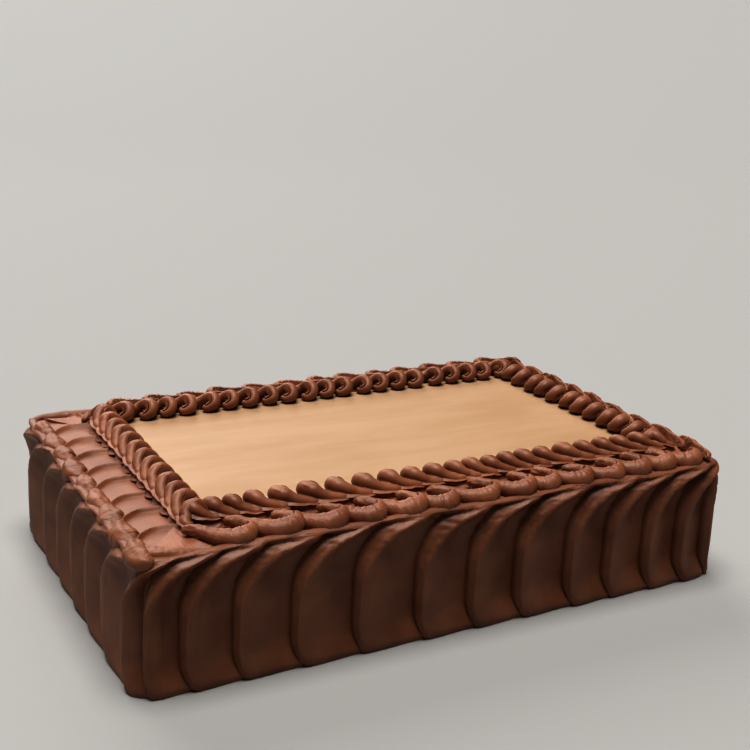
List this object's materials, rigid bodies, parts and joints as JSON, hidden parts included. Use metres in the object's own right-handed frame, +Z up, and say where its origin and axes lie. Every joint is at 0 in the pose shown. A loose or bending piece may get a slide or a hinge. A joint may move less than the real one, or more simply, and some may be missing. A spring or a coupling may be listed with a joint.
{
  "type": "chocolate sheet cake",
  "caption": "Rectangular iced slab cake with scooped spatula strokes round the sides and top edge, a piped rope border and a smooth lighter panel on top.",
  "frame": {"origin": "middle of the base, on the surface that the cake stands on", "axes": "+X runs along the long front side to the right, -Y is the front, +Z is up"},
  "size_m": [0.456, 0.299, 0.1052],
  "materials": {
    "chocolate_icing": "soft satin buttercream with fine drag marks",
    "caramel_icing": "smooth matte buttercream with faint spreading marks"
  },
  "bodies": {
    "root": {"cake_body": "chocolate_icing", "top_panel": "caramel_icing", "strokes_front": "chocolate_icing", "strokes_right": "chocolate_icing", "strokes_back": "chocolate_icing", "strokes_left": "chocolate_icing", "rope_front": "chocolate_icing", "rope_right": "chocolate_icing", "rope_back": "chocolate_icing", "rope_left": "chocolate_icing"}
  },
  "joints": []
}
